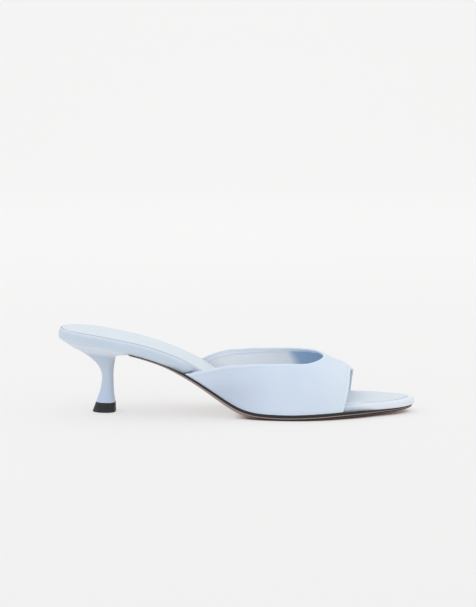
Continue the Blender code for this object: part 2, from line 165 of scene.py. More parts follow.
def smooth_curve(knots, values):
    """Return a natural cubic through the given points, for one place or for many."""
    x = np.array(knots, dtype=float)
    y = np.array(values, dtype=float)
    gap = np.diff(x)
    matrix = np.eye(len(x))
    right = np.zeros(len(x))
    for i in range(1, len(x) - 1):
        matrix[i, i - 1] = gap[i - 1]
        matrix[i, i] = 2 * (gap[i - 1] + gap[i])
        matrix[i, i + 1] = gap[i]
        right[i] = 6 * ((y[i + 1] - y[i]) / gap[i] - (y[i] - y[i - 1]) / gap[i - 1])
    bend = np.linalg.solve(matrix, right)

    def value_at(t):
        t = np.asarray(t, dtype=float)
        i = np.clip(np.searchsorted(x, t) - 1, 0, len(x) - 2)
        a = (x[i + 1] - t) / gap[i]
        b = (t - x[i]) / gap[i]
        cubic = (a**3 - a) * bend[i] + (b**3 - b) * bend[i + 1]
        return a * y[i] + b * y[i + 1] + cubic * gap[i] ** 2 / 6

    return value_at


def column(rows, name):
    """Return one column of a table as a smooth function of the place along the shoe."""
    places = [row.along * SHOE_LENGTH for row in rows]
    return smooth_curve(places, [getattr(row, name) for row in rows])


def between_rows(rows, place):
    """Return a table's values at a place between its rows, counted from the first."""
    return [float(smooth_curve(range(len(rows)), values)(place)) for values in zip(*rows)]


def turn_at(along):
    """Return the angle that spaces sections closely at the two round ends."""
    return np.arccos(1 - 2 * np.clip(along, 0.0, 1.0))


def ease(share):
    """Rise smoothly from 0 to 1 as the share does."""
    share = np.clip(share, 0.0, 1.0)
    return share * share * (3 - 2 * share)


def bell(distance, middle, width):
    return np.exp(-(((distance - middle) / width) ** 2))


rise_at = column(PROFILE, "rise")
spring_at = column(PROFILE, "spring")
arch_at = column(PROFILE, "arch")
depth_at = column(PROFILE, "depth")
plan_turns = turn_at(np.array([row.along for row in PLAN]))
plan_at = {
    LATERAL: smooth_curve(plan_turns, [row.lateral * BALL_WIDTH for row in PLAN]),
    MEDIAL: smooth_curve(plan_turns, [row.medial * BALL_WIDTH for row in PLAN]),
}


def feather_height(x):
    base = OUTSOLE_THICKNESS + CLEARANCE - TREAD_LEVELLED
    return base + HEEL_RISE * rise_at(x) + TOE_SPRING * spring_at(x)


def on_last(points):
    """Place points (x, y, up) of the last on the shoe as it stands in the frame."""
    x, y, up = np.moveaxis(np.asarray(points, dtype=float), -1, 0)
    climb = feather_height(x + SLOPE_STEP) - feather_height(x - SLOPE_STEP)
    angle = np.arctan(climb / (2 * SLOPE_STEP))
    lean = np.where(up > 0, LEAN_REACH * (1 - np.exp(-np.abs(up) / LEAN_REACH)), up)
    lift = ARCH_LIFT * arch_at(x) * (y + ARCH_WIDTH / 2) / ARCH_WIDTH
    height = feather_height(x) + lift + up - (1 - np.cos(angle)) * lean
    along = x - lean * np.sin(angle) + HEEL_BACK_X
    return np.stack([along, y + LAST_MIDDLE_Y, height], axis=-1)


def cover_at(x):
    """Return 1 where the upper covers the footbed's side, easing to 0 outside it."""
    behind = ease((x - COVER_START + COVER_BLEND) / COVER_BLEND)
    return behind * ease((COVER_END + COVER_BLEND - x) / COVER_BLEND)


def rim_at(x):
    """Return the width of the footbed's rim: narrow behind the heel, wide at the toe."""
    toe_share = (x / SHOE_LENGTH - TOE_RIM_START) / (1 - TOE_RIM_START)
    heel_share = 1 - x / HEEL_RIM_LENGTH
    widening = (TOE_RIM - FOOTBED_RIM) * ease(toe_share)
    return FOOTBED_RIM + widening - (FOOTBED_RIM - HEEL_RIM) * ease(heel_share)


def footbed_depth(x):
    return FOOTBED_DEPTH * depth_at(x)


def plan_side(turns, side, outward):
    """Return one side of the outline, moved outward by a function of x."""
    x = SHOE_LENGTH * (1 - np.cos(turns)) / 2
    y = plan_at[side](turns)
    run = SHOE_LENGTH * np.sin(turns) / 2
    widening = plan_at[side](turns + TURN_STEP) - plan_at[side](turns - TURN_STEP)
    widening = widening / (2 * TURN_STEP)
    length = np.hypot(run, widening)
    distance = outward(x)
    moved_y = np.maximum(y + distance * run / length, 0.0)
    return np.stack([x - distance * widening / length, side * moved_y], axis=-1)


def outline_ring(outward, up, start=0.0):
    """Return a ring of last points: rear's middle, lateral side, toe's tip, medial side."""
    turns = np.linspace(turn_at(start), math.pi, OUTLINE_STEPS + 1)
    lateral = plan_side(turns, LATERAL, outward)
    medial = plan_side(turns, MEDIAL, outward)
    rear = [[(lateral[0][0] + medial[0][0]) / 2, 0.0]]
    tip = [[lateral[-1][0], 0.0]]
    flat = np.concatenate([rear, lateral[:-1], tip, medial[-2::-1]])
    return np.column_stack([flat, up(flat[:, 0])])


def ring_prints(rings, values):
    """Return print coordinates: the share of the length, and one value for each ring."""
    along = rings[..., 0] / SHOE_LENGTH
    across = np.broadcast_to(np.reshape(values, (-1, 1)), along.shape)
    return np.stack([along, across], axis=-1)


class Shell:
    """Corners, faces and print coordinates of one piece, gathered from grids."""

    def __init__(self):
        self.corners = []
        self.faces = []
        self.prints = []

    def add_grid(self, grid, closed=False, prints=None):
        """Add faces between the rows of a grid, each row a ring if it is closed."""
        rows, width = grid.shape[:2]
        start = sum(len(block) for block in self.corners)
        self.corners.append(grid.reshape(-1, 3))
        if prints is None:
            prints = np.zeros((rows, width, 2))
        self.prints.append(prints.reshape(-1, 2))
        for i in range(rows - 1):
            for j in range(width if closed else width - 1):
                a = start + i * width + j
                b = start + i * width + (j + 1) % width
                self.faces.append((a, b, b + width, a + width))

    def add_cap(self, ring, across=1, lift=None, print_v=0.0):
        """Close a ring with strips from side to side, raised by a function of both."""
        half = len(ring) // 2
        left = ring[: half + 1]
        right = ring[-np.arange(half + 1) % len(ring)]
        shares = (1 - np.cos(np.linspace(0, math.pi, across + 1))) / 2
        grid = left[:, None] + (right - left)[:, None] * shares[None, :, None]
        if lift is not None:
            width = np.linalg.norm(right - left, axis=1)
            grid[:, :, 2] += lift(width[:, None], shares[None, :])
        prints = np.zeros(grid.shape[:2] + (2,))
        prints[..., 1] = print_v
        self.add_grid(grid, prints=prints)

    def close_ends(self, loops):
        """Close the first and the last of a row of loops, each folded flat on itself."""
        for end in (loops[0], loops[-1]):
            half = len(end) // 2
            self.add_grid(np.stack([end[:half], end[::-1][:half]]))


def turned_shell(rings, prints=None):
    """Return a shell round a stack of rings, closed at both ends."""
    shell = Shell()
    shell.add_grid(rings, closed=True, prints=prints)
    shell.add_cap(rings[0])
    shell.add_cap(rings[-1])
    return shell


def add_object(name, data):
    made = bpy.data.objects.new(name, data)
    bpy.context.scene.collection.objects.link(made)
    return made


def make_piece(name, shell, finish, node=None, bend=50):
    """Turn a shell into a piece that rides on the shoe and stands for a CAD node."""
    corners = np.concatenate(shell.corners)
    prints = np.concatenate(shell.prints)
    mesh = bpy.data.meshes.new(name)
    mesh.from_pydata(corners.tolist(), [], shell.faces)
    layer = mesh.uv_layers.new(name="print")
    corner_of = np.empty(len(mesh.loops), dtype=np.int32)
    mesh.loops.foreach_get("vertex_index", corner_of)
    layer.data.foreach_set("uv", prints[corner_of].ravel())
    work = bmesh.new()
    work.from_mesh(mesh)
    bmesh.ops.remove_doubles(work, verts=work.verts, dist=WELD_DISTANCE)
    bmesh.ops.dissolve_degenerate(work, edges=work.edges, dist=WELD_DISTANCE)
    bmesh.ops.recalc_face_normals(work, faces=work.faces)
    work.to_mesh(mesh)
    work.free()
    mesh.shade_smooth()
    mesh.set_sharp_from_angle(angle=math.radians(bend))
    mesh.materials.append(finish)
    piece = add_object(name, mesh)
    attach(piece, "root")
    if node:
        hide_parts(node)
    return piece


def put(tree, kind, sockets=None, **settings):
    """Place a node, with its settings and with its inputs set or joined."""
    node = tree.nodes.new(kind)
    for key, value in settings.items():
        setattr(node, key, value)
    for key, value in (sockets or {}).items():
        if isinstance(value, bpy.types.NodeSocket):
            tree.links.new(value, node.inputs[key])
        else:
            node.inputs[key].default_value = value
    return node


def reckon(tree, operation, *values):
    """Return the result of one sum on the given sockets or numbers."""
    sockets = dict(enumerate(values))
    return put(tree, "ShaderNodeMath", sockets, operation=operation).outputs["Value"]


def both(tree, first, second):
    return reckon(tree, "MULTIPLY", first, second)


def distance_to(tree, value, place):
    return reckon(tree, "ABSOLUTE", reckon(tree, "SUBTRACT", value, place))


# Two places, and the results between which a value runs smoothly from one to the other
Span = namedtuple("Span", "start end at_start at_end", defaults=(0.0, 1.0))


def ramp(tree, value, span):
    """Return a span's result at a value."""
    names = ("From Min", "From Max", "To Min", "To Max")
    sockets = {"Value": value, **dict(zip(names, span))}
    made = put(tree, "ShaderNodeMapRange", sockets, interpolation_type="SMOOTHSTEP")
    return made.outputs["Result"]


def noise(tree, place, scale, detail, roughness=0.5):
    sockets = {"Vector": place, "Scale": scale, "Detail": detail, "Roughness": roughness}
    return put(tree, "ShaderNodeTexNoise", sockets).outputs["Fac"]


def tone_ramp(tree, value, stops):
    """Return a colour that runs through the given (place, colour) stops."""
    node = put(tree, "ShaderNodeValToRGB", {"Fac": value})
    elements = node.color_ramp.elements
    while len(elements) < len(stops):
        elements.new(1.0)
    for element, (place, colour) in zip(elements, stops):
        element.position = place
        element.color = (*colour, 1.0)
    return node.outputs["Color"]


MIX_SHARE = 0
MIX_UNDER = 6
MIX_OVER = 7
MIX_RESULT = 2


def dye_over(tree, share, under, colour):
    """Return one colour laid over another by a share."""
    sockets = {MIX_SHARE: share, MIX_UNDER: under, MIX_OVER: (*colour, 1.0)}
    return put(tree, "ShaderNodeMix", sockets, data_type="RGBA").outputs[MIX_RESULT]


CELL_CREASE = Span(0.0, 0.12)
PORES_PER_METRE = 5200.0
PORE_SHARE = 0.45
MOTTLE_PER_METRE = 60.0
POLISH_SWING = 0.1


def build_leather_grain():
    """Fine pores and cells of dressed calf, with slow mottling of tone and polish."""
    tree = bpy.data.node_groups.new("leather_grain", "ShaderNodeTree")
    tree.interface.new_socket("Place", in_out="INPUT", socket_type="NodeSocketVector")
    for name in ("Cells per metre", "Roughness"):
        tree.interface.new_socket(name, in_out="INPUT", socket_type="NodeSocketFloat")
    for name in ("Height", "Tone", "Roughness"):
        tree.interface.new_socket(name, in_out="OUTPUT", socket_type="NodeSocketFloat")
    given = put(tree, "NodeGroupInput")
    out = put(tree, "NodeGroupOutput")
    place = given.outputs["Place"]
    sockets = {"Vector": place, "Scale": given.outputs["Cells per metre"]}
    cells = put(tree, "ShaderNodeTexVoronoi", sockets, feature="DISTANCE_TO_EDGE")
    creases = ramp(tree, cells.outputs["Distance"], CELL_CREASE)
    pores = noise(tree, place, PORES_PER_METRE, detail=3.0, roughness=0.6)
    mottle = noise(tree, place, MOTTLE_PER_METRE, detail=4.0, roughness=0.55)
    swing = reckon(tree, "SUBTRACT", mottle, 0.5)
    roughness = given.outputs["Roughness"]
    for name, value in (
        ("Height", reckon(tree, "MULTIPLY_ADD", pores, PORE_SHARE, creases)),
        ("Tone", mottle),
        ("Roughness", reckon(tree, "MULTIPLY_ADD", swing, POLISH_SWING, roughness)),
    ):
        tree.links.new(value, out.inputs[name])
    return tree


leather_grain = build_leather_grain()


GRAIN_DEPTH = 0.00003
DEEP_MOTTLE = 0.3
LIGHT_MOTTLE = 0.7


def start_finish(name):
    """Return a new material with its nodes, its shader and its texture coordinates."""
    finish = bpy.data.materials.new(name)
    finish.use_nodes = True
    tree = finish.node_tree
    return finish, tree, tree.nodes["Principled BSDF"], put(tree, "ShaderNodeTexCoord")


def add_relief(tree, shader, height, depth):
    sockets = {"Height": height, "Distance": depth, "Strength": 1.0}
    relief = put(tree, "ShaderNodeBump", sockets)
    tree.links.new(relief.outputs["Normal"], shader.inputs["Normal"])


def add_grain(tree, shader, place, cells, roughness):
    """Give a leather its cells, relief and polish, and return the mottling of its tone."""
    grain = put(tree, "ShaderNodeGroup", node_tree=leather_grain)
    grain.inputs["Cells per metre"].default_value = cells
    grain.inputs["Roughness"].default_value = roughness
    tree.links.new(place.outputs["Object"], grain.inputs["Place"])
    add_relief(tree, shader, grain.outputs["Height"], GRAIN_DEPTH)
    tree.links.new(grain.outputs["Roughness"], shader.inputs["Roughness"])
    return grain.outputs["Tone"]


def make_leather(name, light, deep, cells, roughness, tint):
    """Dyed calf: a light and a deep tone of one dye over its grain, then painted light and
    shade.
    """
    finish, tree, shader, place = start_finish(name)
    mottle = add_grain(tree, shader, place, cells, roughness)
    colour = tone_ramp(tree, mottle, ((DEEP_MOTTLE, deep), (LIGHT_MOTTLE, light)))
    on_print = put(tree, "ShaderNodeSeparateXYZ", {"Vector": place.outputs["UV"]})
    colour = tint(tree, on_print.outputs["X"], on_print.outputs["Y"], colour)
    tree.links.new(colour, shader.inputs["Base Color"])
    return finish


def wing_pocket(x):
    """Return how far the wrap is pressed in where a wing of the upper goes under it."""
    return WING_POCKET * bell(x, WING_POCKET_MIDDLE, WING_POCKET_LENGTH)


def footbed_edge(swell, roll):
    def outward(x):
        pressed = wing_pocket(x) * (1 - ease(roll * 4))
        return FOOTBED_BULGE * swell - rim_at(x) * roll - UPPER_SEAT * cover_at(x) - pressed

    return outward


footbed_rings = []
footbed_heights = []
for place in np.linspace(0, len(FOOTBED_WALL) - 1, WALL_STEPS + 1):
    swell, roll, share = between_rows(FOOTBED_WALL, place)
    footbed_rings.append(
        outline_ring(footbed_edge(swell, roll), lambda x, s=share: footbed_depth(x) * s)
    )
    footbed_heights.append(share)
recess = outline_ring(footbed_edge(0.0, RECESS_ROLL), lambda x: footbed_depth(x) - SOCK_RECESS)
footbed_rings = np.array(footbed_rings + [recess])
footbed_prints = ring_prints(footbed_rings, footbed_heights + [0.0])
footbed_shell = turned_shell(on_last(footbed_rings), footbed_prints)

# Painted light and shade laid over the wrap, with the shares of the length and of its height
# they cover
# Painted highlight on the wrap's rounded shoulder, where light from above catches it
SHOULDER_HIGHLIGHT = (0.80, 0.86, 0.92)
SHOULDER_HIGHLIGHT_UP = Span(0.72, 0.86, 0.0, 0.35)
# Painted light on the toe's rim, which faces up to the light
TOE_RIM_LIGHT = (0.79, 0.85, 0.93)
TOE_RIM_LIGHT_ALONG = Span(0.80, 0.86)
# Painted light low on the wrap at the seat, for light thrown up from the floor
SEAT_BOUNCE_LIGHT = (0.73, 0.79, 0.89)
SEAT_BOUNCE_ALONG = Span(0.13, 0.22, 0.4, 0.0)
SEAT_BOUNCE_UP = Span(0.05, 0.30, 1.0, 0.0)
# Painted shadow on the wrap just above a wing's edge, where the wing stands off it
POCKET_SHADOW = (0.14, 0.19, 0.26)
POCKET_MIDDLE = 0.358
POCKET_SHADOW_ALONG = Span(0.004, 0.024, 0.85, 0.0)
POCKET_SHADOW_UP = Span(0.05, 0.17, 1.0, 0.0)
WING_TIP = 0.354
WING_CLIMB = 34.5


def paint_wrap_light_and_shade(tree, along, height, colour):
    """Paint light on the shoulder, toe rim and seat, and shadow in a wing's pocket."""
    colour = dye_over(tree, ramp(tree, height, SHOULDER_HIGHLIGHT_UP), colour, SHOULDER_HIGHLIGHT)
    colour = dye_over(tree, ramp(tree, along, TOE_RIM_LIGHT_ALONG), colour, TOE_RIM_LIGHT)
    seat = both(tree, ramp(tree, along, SEAT_BOUNCE_ALONG), ramp(tree, height, SEAT_BOUNCE_UP))
    colour = dye_over(tree, seat, colour, SEAT_BOUNCE_LIGHT)
    # Painted shadow in the wing's pocket, above the wing's top edge
    wing_top = reckon(tree, "MULTIPLY_ADD", along, WING_CLIMB, -WING_TIP * WING_CLIMB)
    above_wing = reckon(tree, "SUBTRACT", height, wing_top)
    pocket = ramp(tree, distance_to(tree, along, POCKET_MIDDLE), POCKET_SHADOW_ALONG)
    pocket = both(tree, pocket, ramp(tree, above_wing, POCKET_SHADOW_UP))
    return dye_over(tree, pocket, colour, POCKET_SHADOW)


footbed_leather = make_leather(
    "footbed_leather",
    light=(0.597, 0.697, 0.805),
    deep=(0.572, 0.672, 0.78),
    cells=1900.0,
    roughness=0.46,
    tint=paint_wrap_light_and_shade,
)
make_piece("footbed_wrap", footbed_shell, footbed_leather, "footbed")


# Sock
# A thin foam pad covered in paler, matt leather, cut to the recess and glued down. Its
# edge is skived and turned, so it rises from the seam in a small soft roll, and a line
# pressed round it holds the foam.

SOCK_CROWN = 0.0009
SOCK_ROLL_WIDTH = 0.0007
SOCK_ROLL_DROP = 0.0006
SOCK_ROLL_STEPS = 6
PRESSED_LINE = 0.0024
PRESSED_LINE_WIDTH = 0.0004
PRESSED_LINE_DEPTH = 0.00012
PRESSED_LINE_END = 0.0036
SOCK_LINE_STEPS = 16
SOCK_STEPS_ACROSS = 40


def sock_inward(distance):
    return lambda x: -rim_at(x) - UPPER_SEAT * cover_at(x) - CLEARANCE - distance


def sock_drop(distance):
    """Return how far the sock's face lies below its own edge line."""
    roll = 1 - np.clip(distance / SOCK_ROLL_WIDTH, 0.0, 1.0)
    edge = SOCK_ROLL_DROP * (1 - math.sqrt(1 - roll**2))
    return edge + PRESSED_LINE_DEPTH * bell(distance, PRESSED_LINE, PRESSED_LINE_WIDTH)


def sock_crown(width, share):
    return SOCK_CROWN * np.sqrt(width / BALL_WIDTH) * 4 * share * (1 - share)


roll_places = SOCK_ROLL_WIDTH * np.linspace(0.0, 1.0, SOCK_ROLL_STEPS + 1) ** 2
line_places = np.linspace(SOCK_ROLL_WIDTH, PRESSED_LINE_END, SOCK_LINE_STEPS + 1)[1:]
sock_places = np.concatenate([roll_places, line_places])
sock_low = outline_ring(
    sock_inward(0.0), lambda x: footbed_depth(x) - SOCK_RECESS + CLEARANCE
)
sock_rings = [sock_low]
for distance in sock_places:
    drop = sock_drop(distance)
    sock_rings.append(
        outline_ring(sock_inward(distance), lambda x, d=drop: footbed_depth(x) - d)
    )
sock_rings = np.array(sock_rings)
sock_prints = ring_prints(sock_rings, [0.0, *(sock_places / MILLIMETRE)])
sock_shell = Shell()
sock_shell.add_grid(on_last(sock_rings), closed=True, prints=sock_prints)
sock_shell.add_cap(on_last(sock_low))
sock_shell.add_cap(
    on_last(sock_rings[-1]),
    SOCK_STEPS_ACROSS,
    sock_crown,
    print_v=PRESSED_LINE_END / MILLIMETRE,
)

# Painted shade at the seam and the pressed line and painted light at the toe opening, with the
# shares of the length and the millimetres inside the seam that they cover
# Painted shade where the sock's rolled edge meets the rim, and in its pressed line
SEAM_SHADE = (0.30, 0.37, 0.47)
SEAM_SHADE_INSIDE = Span(0.1, 0.5, 0.45, 0.0)
SEAM_SHADE_TO_TOE = Span(0.78, 0.88, 1.0, 0.35)
SEAM_SHADE_FROM_HEEL = Span(0.02, 0.06, 0.1, 1.0)
LINE_SHADE_ASIDE = Span(0.1, 0.4, 0.18, 0.0)
# Painted light on the sock just inside the toe opening, where the upper shades it
OPENING_LIGHT = (0.90, 0.94, 0.98)
OPENING_LIGHT_START = Span(0.74, 0.79)
OPENING_LIGHT_END = Span(0.83, 0.86, 0.8, 0.0)


def paint_seam_shade_and_light(tree, along, inside, colour):
    """Paint shade on the skived edge and the pressed line, and paint light at the opening."""
    opening = both(tree, ramp(tree, along, OPENING_LIGHT_START), ramp(tree, along, OPENING_LIGHT_END))
    colour = dye_over(tree, opening, colour, OPENING_LIGHT)
    edge = both(tree, ramp(tree, inside, SEAM_SHADE_INSIDE), ramp(tree, along, SEAM_SHADE_TO_TOE))
    edge = both(tree, edge, ramp(tree, along, SEAM_SHADE_FROM_HEEL))
    line = ramp(tree, distance_to(tree, inside, PRESSED_LINE / MILLIMETRE), LINE_SHADE_ASIDE)
    return dye_over(tree, reckon(tree, "MAXIMUM", edge, line), colour, SEAM_SHADE)


sock_leather = make_leather(
    "sock_leather",
    light=(0.71, 0.785, 0.845),
    deep=(0.69, 0.765, 0.825),
    cells=1500.0,
    roughness=0.58,
    tint=paint_seam_shade_and_light,
)
sock = make_piece("sock_pad", sock_shell, sock_leather, "sock")


# Outsole
# Thin sole leather, glued on under the footbed and the upper. Its edge is trimmed square,
# inked black and waxed down to a bare line, with a dark bevel and a brown face below it.

OUTSOLE_LEDGE = 0.0005
OUTSOLE_BEVEL = 0.0012
UPPER_WALL = 0.0016
SEAT_LENGTH = 0.0490
SOLE_ROUND = 0.0002
WELT_LIP = 0.0006
SOLE_LIP = 0.0012
SOLE_LIP_LENGTH = 0.0035
SOLE_STEPS_ACROSS = 12

# Inward step in bevels, step in from the ledge in roundings, share of the thickness down
# the sole's edge and rise of the welted lip
SOLE_EDGE = table(
    "inward rounding down lip",
    (0.0, 4.0, 0.00, 0.0),
    (0.0, 2.5, 0.00, 0.8),
    (0.0, 1.2, 0.00, 1.0),
    (0.0, 0.3, 0.00, 0.8),
    (0.0, 0.0, 0.02, 0.3),
    (0.0, 0.0, 0.25, 0.0),
    (0.0, 0.0, 0.40, 0.0),
    (0.06, 0.0, 0.50, 0.0),
    (0.30, 0.0, 0.60, 0.0),
    (0.55, 0.0, 0.80, 0.0),
    (0.85, 0.0, 0.95, 0.0),
    (1.10, 0.0, 1.00, 0.0),
)

sole_at = column(PROFILE, "sole")
ledge_at = column(PROFILE, "ledge")
upper_proud = FOOTBED_BULGE + CLEARANCE + UPPER_WALL - UPPER_SEAT


def sole_ring(row):
    """Return one ring down the sole's edge, from the cement line to the underside."""

    def outward(x):
        inset = OUTSOLE_BEVEL * row.inward * sole_at(x) + SOLE_ROUND * row.rounding
        return OUTSOLE_LEDGE * ledge_at(x) + upper_proud * cover_at(x) - inset

    def up(x):
        thickness = OUTSOLE_THICKNESS * sole_at(x) + CLEARANCE * cover_at(x)
        thickness = thickness * ease((x - SEAT_LENGTH + SOLE_LIP) / SOLE_LIP_LENGTH)
        return WELT_LIP * row.lip * cover_at(x) - CEMENT_LINE - row.down * thickness

    return outline_ring(outward, up, (SEAT_LENGTH + CEMENT_LINE) / SHOE_LENGTH)


def on_floor(points):
    """Level what the last's curve would carry below the floor."""
    placed = on_last(points)
    placed[..., 2] = np.maximum(placed[..., 2], 0.0)
    return placed


sole_rings = np.array([sole_ring(row) for row in SOLE_EDGE])
sole_prints = ring_prints(sole_rings, [row.down for row in SOLE_EDGE])
sole_shell = Shell()
sole_shell.add_grid(on_floor(sole_rings), closed=True, prints=sole_prints)
sole_shell.add_cap(on_floor(sole_rings[0]))
sole_shell.add_cap(on_floor(sole_rings[-1]), SOLE_STEPS_ACROSS, print_v=1.0)

# A light warm line where the ink stops: partly bare leather, partly painted highlight where the
# bevel's upper edge catches the light. The same colour is laid low on the edge at the waist.
BARE_LINE_AND_HIGHLIGHT = (0.47, 0.35, 0.32)
# Painted shadow on the bevel, which faces down towards the floor
BEVEL_SHADOW = (0.018, 0.009, 0.007)
BARE_BELOW = Span(0.50, 0.58)
BARE_ALONG = Span(0.50, 0.57, 0.7, 0.0)
INK_WAVERS_PER_METRE = 240.0
INK_WAVER = 0.08

# Black ink, the light line where it stops, the bevel in painted shadow and the brown underside,
# by share of the way down the edge
SOLE_BANDS = (
    (0.41, (0.007, 0.0075, 0.009)),
    (0.45, BARE_LINE_AND_HIGHLIGHT),
    (0.52, BARE_LINE_AND_HIGHLIGHT),
    (0.57, BEVEL_SHADOW),
    (0.90, BEVEL_SHADOW),
    (0.98, (0.20, 0.10, 0.075)),
)


def make_sole_finish():
    """Ink, a light line and a bevel in painted shadow, borders wavering, lighter at the waist.
    """
    finish, tree, shader, place = start_finish("sole_leather")
    on_print = put(tree, "ShaderNodeSeparateXYZ", {"Vector": place.outputs["UV"]})
    along = on_print.outputs["X"]
    down = on_print.outputs["Y"]
    waver = noise(tree, place.outputs["Object"], INK_WAVERS_PER_METRE, detail=3.0)
    drift = reckon(tree, "MULTIPLY_ADD", waver, INK_WAVER, -INK_WAVER / 2)
    colour = tone_ramp(tree, reckon(tree, "ADD", down, drift), SOLE_BANDS)
    bare = both(tree, ramp(tree, down, BARE_BELOW), ramp(tree, along, BARE_ALONG))
    colour = dye_over(tree, bare, colour, BARE_LINE_AND_HIGHLIGHT)
    add_grain(tree, shader, place, cells=2400.0, roughness=0.50)
    tree.links.new(colour, shader.inputs["Base Color"])
    return finish


make_piece("sole", sole_shell, make_sole_finish(), "outsole", bend=40)


# Heel
# A moulded core covered in the same blue leather, stretched round from the back and
# closed down the middle of the breast. Its cup fits under the seat of the footbed.

SEAT_WIDTH = 0.0520
WIDEST_SHARE = 0.56
TIP_HEIGHT = 0.0065
HEEL_STEPS_AROUND = 128
HEEL_RINGS = 90
ROUNDED_DIGITS = 9
BREAST_SEAM_WIDTH = 0.0004
BREAST_SEAM_DEPTH = 0.00025
BREAST_SEAM_REACH = 0.004

# Drop of the way down, back and front of the seat length, half width of the seat's, and
# squareness of the front, where 2 is an ellipse
HEEL = table(
    "drop back front half_width square",
    (0.000, 0.006, 1.000, 1.000, 8.0),
    (0.034, 0.054, 0.999, 0.975, 7.0),
    (0.068, 0.108, 0.944, 0.905, 5.5),
    (0.113, 0.184, 0.848, 0.790, 4.5),
    (0.155, 0.275, 0.808, 0.650, 3.8),
    (0.205, 0.358, 0.794, 0.520, 3.2),
    (0.285, 0.461, 0.784, 0.385, 2.8),
    (0.380, 0.545, 0.773, 0.290, 2.6),
    (0.480, 0.591, 0.766, 0.238, 2.5),
    (0.580, 0.604, 0.764, 0.213, 2.5),
    (0.735, 0.588, 0.767, 0.223, 2.6),
    (0.860, 0.560, 0.773, 0.250, 2.8),
    (1.000, 0.518, 0.788, 0.285, 3.0),
)


def heel_shape(back, front, half_width, square):
    """Return a ring in plan: an elliptic back and a squarer front, from the front's middle."""
    middle = back + WIDEST_SHARE * (front - back)
    angles = np.linspace(0, 2 * math.pi, HEEL_STEPS_AROUND, endpoint=False)
    cosine = np.round(np.cos(angles), ROUNDED_DIGITS)
    sine = np.round(np.sin(angles), ROUNDED_DIGITS)
    power = np.where(cosine > 0, 2 / square, 1.0)
    reach = np.where(cosine > 0, front - middle, middle - back)
    x = middle + np.sign(cosine) * reach * np.abs(cosine) ** power
    y = -np.sign(sine) * half_width * np.abs(sine) ** power
    return np.stack([x, y], axis=-1)


heel_bottom = TIP_HEIGHT + CLEARANCE
heel_rings = []
for place in np.linspace(0, len(HEEL) - 1, HEEL_RINGS + 1):
    drop, back, front, half_width, square = between_rows(HEEL, place)
    back *= SEAT_LENGTH
    flat = heel_shape(back, front * SEAT_LENGTH, half_width * SEAT_WIDTH / 2, square)
    seat = feather_height(flat[:, 0]) - CEMENT_LINE
    on_breast = flat[:, 0] > back + BREAST_SEAM_REACH
    flat[:, 0] -= BREAST_SEAM_DEPTH * bell(flat[:, 1], 0.0, BREAST_SEAM_WIDTH) * on_breast
    height = seat + (heel_bottom - seat) * drop
    heel_rings.append(np.column_stack([flat, height]))
heel_rings = np.array(heel_rings) + np.array([HEEL_BACK_X, LAST_MIDDLE_Y, 0.0])
heel_prints = ring_prints(heel_rings, np.linspace(0.0, 1.0, HEEL_RINGS + 1))
heel_shell = turned_shell(heel_rings, heel_prints)

# Painted light of the cup and blue of the foot, with the shares of the way down they cover
# Painted light on the heel's cup, for light thrown up from the floor
CUP_BOUNCE_LIGHT = (0.73, 0.79, 0.89)
CUP_BOUNCE_DOWN = Span(0.22, 0.42, 0.9, 0.0)
FOOT_TONE = (0.51, 0.645, 0.86)
FOOT_DOWN = Span(0.72, 0.95, 0.0, 0.6)


def paint_cup_light_and_tint_foot(tree, along, down, colour):
    """Paint light on the cup, which faces down to the floor, and blue the leather at the foot.
    """
    colour = dye_over(tree, ramp(tree, down, CUP_BOUNCE_DOWN), colour, CUP_BOUNCE_LIGHT)
    return dye_over(tree, ramp(tree, down, FOOT_DOWN), colour, FOOT_TONE)


heel_leather = make_leather(
    "heel_leather",
    light=(0.545, 0.64, 0.76),
    deep=(0.52, 0.615, 0.735),
    cells=1900.0,
    roughness=0.42,
    tint=paint_cup_light_and_tint_foot,
)
make_piece("heel_cover", heel_shell, heel_leather, "heel", bend=60)


# Top piece
# A block of hard black rubber pinned under the heel, trimmed flush with the cover and
# flared to the floor. Its lower edge is slightly rounded by use.

TIP_PROUD = 0.0002
TIP_BACK_FLARE = 0.0024
TIP_FRONT_FLARE = 0.0002
TIP_SIDE_FLARE = 0.0008
TIP_EDGE = 0.0004
RUBBER_TONES = ((0.45, (0.008, 0.008, 0.010)), (0.8, (0.034, 0.034, 0.037)))
RUBBER_ROUGHNESS = 0.6
SCUFFS_PER_METRE = 420.0
SCUFF_DEPTH = 0.00006

tip_rings = []
for inward, height in (
    (TIP_PROUD, heel_bottom - CEMENT_LINE),
    (0.0, TIP_HEIGHT - TIP_PROUD),
    (0.0, TIP_HEIGHT / 2),
    (0.0, TIP_EDGE),
    (TIP_EDGE / 4, TIP_EDGE / 3),
    (TIP_EDGE, 0.0),
):
    flare = 1 - height / TIP_HEIGHT
    last_row = HEEL[-1]
    flat = heel_shape(
        last_row.back * SEAT_LENGTH - flare * TIP_BACK_FLARE - TIP_PROUD + inward,
        last_row.front * SEAT_LENGTH + flare * TIP_FRONT_FLARE + TIP_PROUD - inward,
        last_row.half_width * SEAT_WIDTH / 2 + flare * TIP_SIDE_FLARE + TIP_PROUD - inward,
        last_row.square,
    )
    tip_rings.append(np.column_stack([flat, np.full(len(flat), height)]))
tip_shell = turned_shell(np.array(tip_rings) + np.array([HEEL_BACK_X, LAST_MIDDLE_Y, 0.0]))


